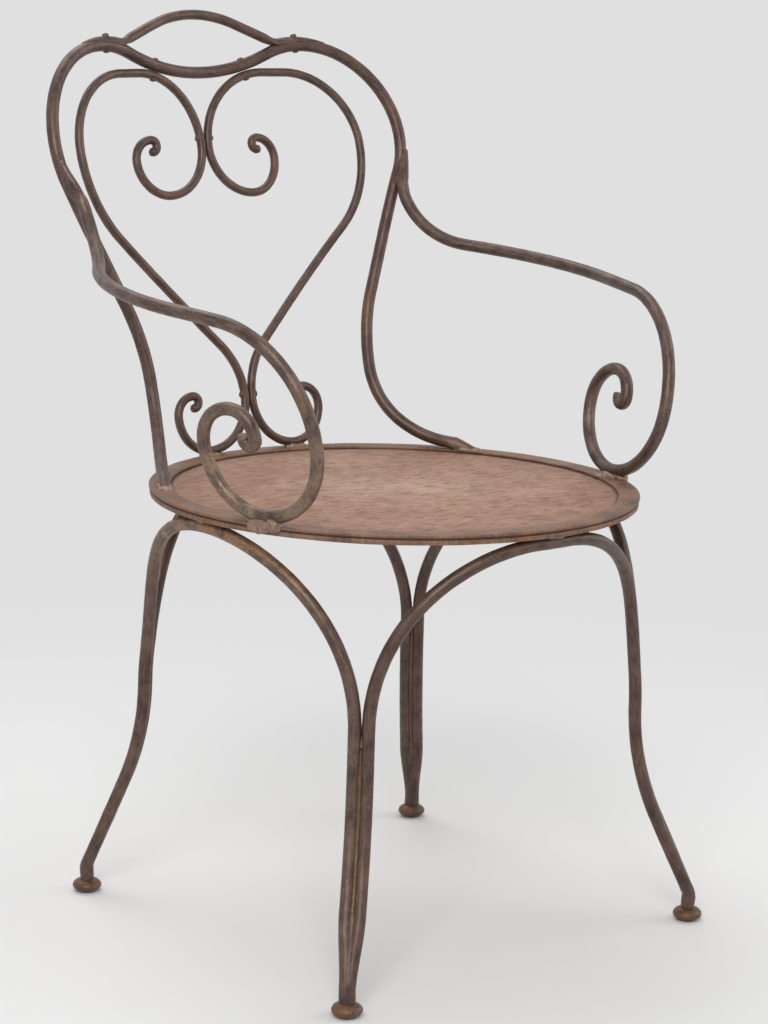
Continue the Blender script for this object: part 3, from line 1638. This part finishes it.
@dataclass
class Arms:
    """The two arms: each a scroll and a bow on the rim, then a run back to the post."""

    finishes: Finishes
    post: list[Vector]
    bar: float = BAR
    gap: float = GAP
    contact: Vector = field(default_factory=lambda: Vector((0.2287, -0.0804, 0.4518)))
    flare: float = 0.203
    spread: float = 0.219
    bow_low: float = 0.0731
    bow_high: float = 0.1162
    rise: float = 5.3
    run: float = 0.1484
    scroll: tuple[float, float, float] = (0.0657, 0.0375, 0.0274)
    eye: float = 0.0069
    eye_turn: float = 205
    elbow_radius: float = 0.213
    heel: Vector = field(default_factory=lambda: Vector((0.2173, 0.2132, 0.6669)))
    heel_radius: float = 0.093
    lap_low: float = 0.715
    lap_high: float = 0.739
    lap_radius: float = 0.045
    tip_length: float = 0.022
    seat_top: float = SEAT_TOP
    rim: float = SEAT_RADIUS
    under_bow: tuple[float, float, float] = (0.018, 0.0105, 0.0062)
    in_front: tuple[float, float, float] = (0.010, 0.008, 0.0085)
    inside: tuple[float, float, float] = (0.009, 0.007, 0.0036)
    over_edge: tuple[float, float, float] = (0.016, 0.0058, 0.0030)

    def post_at(self, z: float) -> tuple[Vector, Vector]:
        """Centre of the left post at a height, and its direction upwards."""
        i = min(range(1, len(self.post) - 1), key=lambda k: abs(self.post[k].z - z))
        return self.post[i], (self.post[i - 1] - self.post[i + 1]).normalized()

    def stations(self) -> list[Station]:
        """Stations of the left arm, from the scroll's eye to its tip on the post.

        Returns:
            The stations.
        """
        rearward = Vector((self.spread, 1, 0)).normalized()
        face = Vector((1, -self.spread, -self.flare)).normalized()
        upward = face.cross(rearward)
        if upward.z < 0:
            upward = -upward

        def on_bow(a: float, b: float) -> Vector:
            """Point of the bow's plane, a rearward and b upward of the rim."""
            return self.contact + rearward * a + upward * b

        inner = Pen(0, 0, 0)
        for radius in self.scroll:
            inner.arc(radius, 90)
        inner.arc(self.eye, self.eye_turn, step=50)
        bow = Pen(0, 0, 180)
        bow.arc(self.bow_low, -90)
        bow.arc(self.bow_high, self.rise - 90)
        bow_end = place(bow.marks, on_bow)[-1].point
        elbow = place(bow.line(self.run).marks, on_bow)[-1].point
        bow.marks.pop()
        laps = []
        for height in (self.lap_low, self.lap_high):
            at, way = self.post_at(height)
            laps.append(at + (FRONT - way * FRONT.dot(way)).normalized() * (2 * self.bar + self.gap))
        tip = laps[1] + (laps[1] - laps[0]).normalized() * self.tip_length
        corners = [bow_end, elbow, self.heel, laps[0], tip]
        run = rounded(corners, [self.elbow_radius, self.heel_radius, self.lap_radius])
        return backwards(place(inner.marks, on_bow)) + place(bow.marks, on_bow)[1:] + run[1:]

    def weld_drops(self, side: Side) -> list[Drop]:
        """The lumps that hold a bow to the rim; they run over the rim's edge.

        Args:
            side: Side of the chair.

        Returns:
            The lumps.
        """
        on = Vector((self.contact.x, self.contact.y, self.seat_top)) * side.flip
        along = Vector((self.spread, 1, 0)).normalized() * side.flip
        outward = Vector((on.x, on.y, 0)).normalized()
        edge = outward * (self.rim + 0.0002) + UP * (self.seat_top - 0.003)
        return [
            Drop(on, along, UP, self.under_bow),
            Drop(on - along * 0.013 + outward * 0.002, along, UP, self.in_front),
            Drop(on - outward * 0.010 + along * 0.004, along, UP, self.inside),
            Drop(edge, along, outward, self.over_edge),
        ]

    def build(self) -> None:
        """Models and dresses both arms."""
        left = self.stations()
        lap = Lap(
            rest=self.bar, under=self.bar, half_width=0.0064, thick=2 * self.bar,
            tip=0.0008, reach=self.tip_length + 0.012, ease=0.014,
        )
        for side in Side:
            line = follow(mirrored(left, side))

            def off_post(i: int) -> Vector:
                """Direction from the post to a point of the arm."""
                flat = line[i] * side.flip
                near = min(self.post, key=lambda point: (point - flat).length)
                return (flat - near) * side.flip

            piece = round_bar(f"armrest_{side.label}", line, self.bar, rounding=0.25)
            forge(piece, line, self.bar, lap, off_post, both=False)
            finish_bar(piece, Dents.BAR, self.finishes.arms[side], f"arm_{side.label}", angle=60)
            bead = weld(f"bead_arm_{side.label}", self.weld_drops(side))
            dress(bead, self.finishes.weld, "weld", f"arm_weld_{side.label}")


@dataclass
class Legs:
    """Four arches whose ends run down side by side as legs, with ankles and bun feet."""

    finishes: Finishes
    shell: LegShell = field(default_factory=LegShell)
    bar: float = BAR
    gap: float = GAP
    pair_from: float = 0.200
    pair_marks: int = 12
    forge_high: float = 0.090
    forge_low: float = 0.024
    pair_close: float = 0.0015
    arch_flat: float = 0.001
    front_flat: float = 0.016
    seat_under: float = 0.4354
    foot_radius: float = 0.015
    foot_height: float = 0.014
    foot_line: float = 0.030
    foot_sink: float = 0.002
    foot_bulge: float = 1.08
    ankle_top: float = 0.090
    ankle_radius: float = 0.0072
    ankle_taper: float = 0.022
    braze_from: float = 0.050
    braze_to: float = 0.240
    braze_out: float = 0.0027
    braze_ends: float = 0.0008
    braze_swell: float = 0.0017
    crown_bead: tuple[float, float, float] = (0.014, 0.008, 0.0042)

    def half_spacing(self, z: float) -> float:
        """Half the distance between the two bars of a leg at a height."""
        share = min(1.0, max(0.0, (z - self.forge_low) / (self.forge_high - self.forge_low)))
        wide = self.bar + self.gap / 2
        return self.pair_close + (wide - self.pair_close) * share * share * (3 - 2 * share)

    def half_arch(self, corner: Corner, turn: int, half_angle: float, flat: float) -> list[Station]:
        """Stations of one bar from the foot up to the middle of the arch's crown.

        Args:
            corner: The leg.
            turn: Sense round the seat's axis from the leg to the crown.
            half_angle: Angle from the leg to the crown, in radians.
            flat: Straight of half the crown.

        Returns:
            The stations.
        """
        wide = self.bar + self.gap / 2
        shoulder = self.shell.arch_top * half_angle - flat - wide
        spring = self.shell.crown - shoulder
        upper = Pen(wide, self.pair_from, 90)
        upper.line(spring - self.pair_from, pieces=2)
        upper.arc(shoulder, -90, step=12)
        upper.line(flat)
        lower = []
        for i in range(self.pair_marks):
            z = self.foot_line + (self.pair_from - self.foot_line) * i / self.pair_marks
            rise = 1e-4
            way = math.atan2(2 * rise, self.half_spacing(z + rise) - self.half_spacing(z - rise))
            lower.append((self.half_spacing(z), z, way))

        def on_shell(u: float, z: float) -> Vector:
            """Point of the shell beside this leg."""
            return self.shell.point(u, z, corner, turn)

        stations = place(lower + upper.marks, on_shell)
        first = stations[0].point
        down = Vector((first.x, first.y, self.foot_height - self.foot_sink))
        return [Station(down, UP.copy())] + stations

    def arch(self, name: str, first: Corner, second: Corner, degrees: float) -> None:
        """Models one arch with a leg bar at each end.

        Args:
            name: The arch's name.
            first: Leg at its end that comes first, turning about the seat's axis from X to Y.
            second: Leg at its other end.
            degrees: Direction of the crown from the X axis.
        """
        flat = self.front_flat if name == "front" else self.arch_flat
        crown = math.radians(degrees)
        halves = []
        for corner, turn in ((first, 1), (second, -1)):
            half_angle = abs(math.remainder(crown - self.shell.angle(corner), 2 * math.pi))
            halves.append(self.half_arch(corner, turn, half_angle, flat))
        line = follow(halves[0] + backwards(halves[1])[1:])
        piece = round_bar(f"arch_{name}", line, self.bar)
        finish = self.finishes.worn if name == "right" else self.finishes.bar
        finish_bar(piece, Dents.BAR, finish, f"leg_arch_{name}")
        top = self.shell.arch_top
        on = Vector((top * math.cos(crown), top * math.sin(crown), self.seat_under))
        along = Vector((-math.sin(crown), math.cos(crown), 0))
        bead = weld(f"bead_arch_{name}", [Drop(on, along, -UP, self.crown_bead)])
        dress(bead, self.finishes.weld, "weld", f"arch_weld_{name}")

    def groove_line(self, corner: Corner, low: float, high: float, out: float) -> list[Vector]:
        """Centre line that runs down between the two bars of a leg.

        Args:
            corner: The leg.
            low: Height of its lower end.
            high: Height of its upper end.
            out: Distance outwards from the bars' plane.

        Returns:
            Points from the lower end to the upper.
        """
        angle = self.shell.angle(corner)
        outward = Vector((math.cos(angle), math.sin(angle), 0)) * out
        pen = Pen(0, low, 90).line(high - low, pieces=6)

        def middle(u: float, z: float) -> Vector:
            """Point between the bars of this leg."""
            return self.shell.point(u, z, corner, 1) + outward

        return follow(place(pen.marks, middle))

    def ankle(self, corner: Corner) -> None:
        """The forged end of a leg, where the two bars become one above the foot.

        Args:
            corner: The leg.
        """
        line = self.groove_line(corner, self.foot_line, self.ankle_top, 0)
        foot = line[0].copy()
        foot.z = self.foot_height - self.foot_sink
        line.insert(0, foot)

        def radius(at: float) -> float:
            """Radius of the ankle, which tapers upwards."""
            return self.ankle_radius - self.ankle_taper * at

        piece = round_bar(f"ankle_{corner.label}", line, radius, rounding=0.2)
        finish_bar(piece, Dents.ANKLE, self.finishes.bar, f"leg_ankle_{corner.label}")

    def brazing(self, corner: Corner) -> None:
        """Brazing that fills the groove between the bars, outside and inside.

        Args:
            corner: The leg.
        """
        for face, sign in (("outer", 1), ("inner", -1)):
            line = self.groove_line(corner, self.braze_from, self.braze_to, sign * self.braze_out)
            whole = lengths(line)[-1]

            def radius(at: float) -> float:
                """Radius of the brazing, which runs out thin at both ends."""
                share = min(at, whole - at) / (whole / 2)
                return self.braze_ends + self.braze_swell * min(1.0, share * 3)

            piece = round_bar(f"brazing_{face}_{corner.label}", line, radius, sides=12)
            hammer(piece, Dents.BRAZE)
            smooth(piece)
            dress(piece, self.finishes.braze, "braze", f"leg_braze_{face}_{corner.label}")

    def foot(self, corner: Corner) -> None:
        """A bun foot: a flattened ball, flat where it stands and where the ankle sits.

        Args:
            corner: The leg.
        """
        at = self.shell.point(0, self.foot_line, corner, 1)
        middle = self.foot_height / 2
        bpy.ops.mesh.primitive_uv_sphere_add(segments=48, ring_count=32, location=(at.x, at.y, middle))
        piece = newly_made(f"bun_{corner.label}")
        piece.scale = (self.foot_radius, self.foot_radius, middle * self.foot_bulge)
        settle(piece)
        hammer(piece, Dents.FOOT)
        with editing():
            for height, out in ((0, -UP), (self.foot_height, UP)):
                bpy.ops.mesh.select_all(action="SELECT")
                bpy.ops.mesh.bisect(plane_co=(0, 0, height), plane_no=out, clear_outer=True, use_fill=True)
        smooth(piece)
        dress(piece, self.finishes.foot, "foot_iron", f"foot_{corner.label}")

    def build(self) -> None:
        """Models and dresses the legs."""
        self.arch("front", Corner.FRONT_RIGHT, Corner.FRONT_LEFT, -90)
        self.arch("left", Corner.FRONT_LEFT, Corner.REAR_LEFT, 0)
        self.arch("rear", Corner.REAR_LEFT, Corner.REAR_RIGHT, 90)
        self.arch("right", Corner.REAR_RIGHT, Corner.FRONT_RIGHT, 180)
        for corner in Corner:
            self.ankle(corner)
            self.brazing(corner)
            self.foot(corner)


# Studio


@dataclass(frozen=True)
class Lamp:
    """A square soft lamp."""

    name: str
    spot: tuple[float, float, float]
    size: float
    power: float

    def light(self, aim: Vector) -> None:
        """Hangs the lamp.

        Args:
            aim: Place that it is turned to.
        """
        lamp = bpy.data.lights.new(self.name, "AREA")
        lamp.shape = "SQUARE"
        lamp.size = self.size
        lamp.energy = self.power
        stand = bpy.data.objects.new(self.name, lamp)
        stand.location = self.spot
        stand.rotation_euler = (aim - Vector(self.spot)).to_track_quat("-Z", "Y").to_euler()
        bpy.context.scene.collection.objects.link(stand)


@dataclass
class Studio:
    """A pale floor, soft lamps and the camera."""

    azimuth: float = -40.46
    elevation: float = 10.25
    roll: float = 1.59
    distance: float = 2.8336
    target: Vector = field(default_factory=lambda: Vector((0.00151, -0.05196, 0.4686)))
    focal_pixels: float = 2792.67
    centre: tuple[float, float] = (392.85, 461.6)
    picture: tuple[int, int] = (768, 1024)
    sensor: float = 36
    backdrop: Colour = tone(224, 224, 224)
    floor_tone: Colour = tone(236, 236, 236)
    floor_radius: float = 9
    fade_from: float = 0.45
    fade_to: float = 1.5
    surround: float = 0.55
    aim: Vector = field(default_factory=lambda: Vector((0, 0, 0.45)))
    lamps: tuple[Lamp, ...] = (
        Lamp("Key", (-2.2, -2.2, 2.6), 1.8, 62),
        Lamp("Fill", (2.6, -1.6, 1.8), 2.2, 22),
        Lamp("Top", (0.2, 1.4, 3.0), 2.0, 26),
    )

    def build(self) -> None:
        """Sets up the floor, the world, the lamps and the camera."""
        bpy.context.scene.view_settings.view_transform = "Standard"
        self.floor()
        self.world()
        for lamp in self.lamps:
            lamp.light(self.aim)
        self.camera()

    def floor(self) -> None:
        """A wide pale floor that fades into the background."""
        bpy.ops.mesh.primitive_circle_add(vertices=96, radius=self.floor_radius, fill_type="NGON")
        floor = newly_made("studio_floor")
        made = bpy.data.materials.new("Studio floor")
        wiring = Wiring.fresh(made)
        diffuse = wiring.add("ShaderNodeBsdfDiffuse", {"Color": self.floor_tone})
        shown = wiring.add("ShaderNodeEmission", {"Color": self.backdrop})
        away = wiring.distance(wiring.add("ShaderNodeTexCoord").outputs["Object"])
        far = wiring.times(wiring.remap(away, self.fade_from, self.fade_to), wiring.shown_rays())
        both = wiring.add("ShaderNodeMixShader", {0: far, 1: diffuse.outputs[0], 2: shown.outputs[0]})
        wiring.add("ShaderNodeOutputMaterial", {"Surface": both.outputs[0]})
        floor.data.materials.append(made)

    def world(self) -> None:
        """A pale surround."""
        world = bpy.data.worlds.new("Studio")
        bpy.context.scene.world = world
        wiring = Wiring.fresh(world)
        lit = wiring.add("ShaderNodeBackground", {"Color": (1, 1, 1, 1), "Strength": self.surround})
        shown = wiring.add("ShaderNodeBackground", {"Color": self.backdrop, "Strength": 1.0})
        rays = wiring.shown_rays()
        both = wiring.add("ShaderNodeMixShader", {0: rays, 1: lit.outputs[0], 2: shown.outputs[0]})
        wiring.add("ShaderNodeOutputWorld", {"Surface": both.outputs[0]})

    def camera(self) -> None:
        """The photograph's own camera."""
        azimuth, elevation = math.radians(self.azimuth), math.radians(self.elevation)
        back = Vector((
            math.sin(azimuth) * math.cos(elevation),
            -math.cos(azimuth) * math.cos(elevation),
            math.sin(elevation),
        ))
        right = Vector((math.cos(azimuth), math.sin(azimuth), 0))
        up = back.cross(right)
        roll = math.radians(self.roll)
        tilted_right = right * math.cos(roll) + up * math.sin(roll)
        tilted_up = up * math.cos(roll) - right * math.sin(roll)
        lens = bpy.data.cameras.new("Camera")
        width, height = self.picture
        lens.sensor_fit = "AUTO"
        lens.sensor_width = self.sensor
        lens.lens = self.focal_pixels * self.sensor / height
        lens.shift_x = (width / 2 - self.centre[0]) / height
        lens.shift_y = (self.centre[1] - height / 2) / height
        lens.clip_end = 40
        holder = bpy.data.objects.new("Camera", lens)
        holder.matrix_world = Matrix.Translation(self.target + back * self.distance) @ Matrix(
            (tilted_right, tilted_up, back)
        ).transposed().to_4x4()
        bpy.context.scene.collection.objects.link(holder)
        bpy.context.scene.camera = holder


def main() -> None:
    """Builds the chair and its studio."""
    logging.basicConfig(level=logging.INFO, format="%(name)s: %(message)s")
    finishes = Finishes.mix()
    Seat(finishes).build()
    back = Back(finishes)
    back.build()
    Arms(finishes, back.post_line()).build()
    Legs(finishes).build()
    Studio().build()


if __name__ == "__main__":
    main()
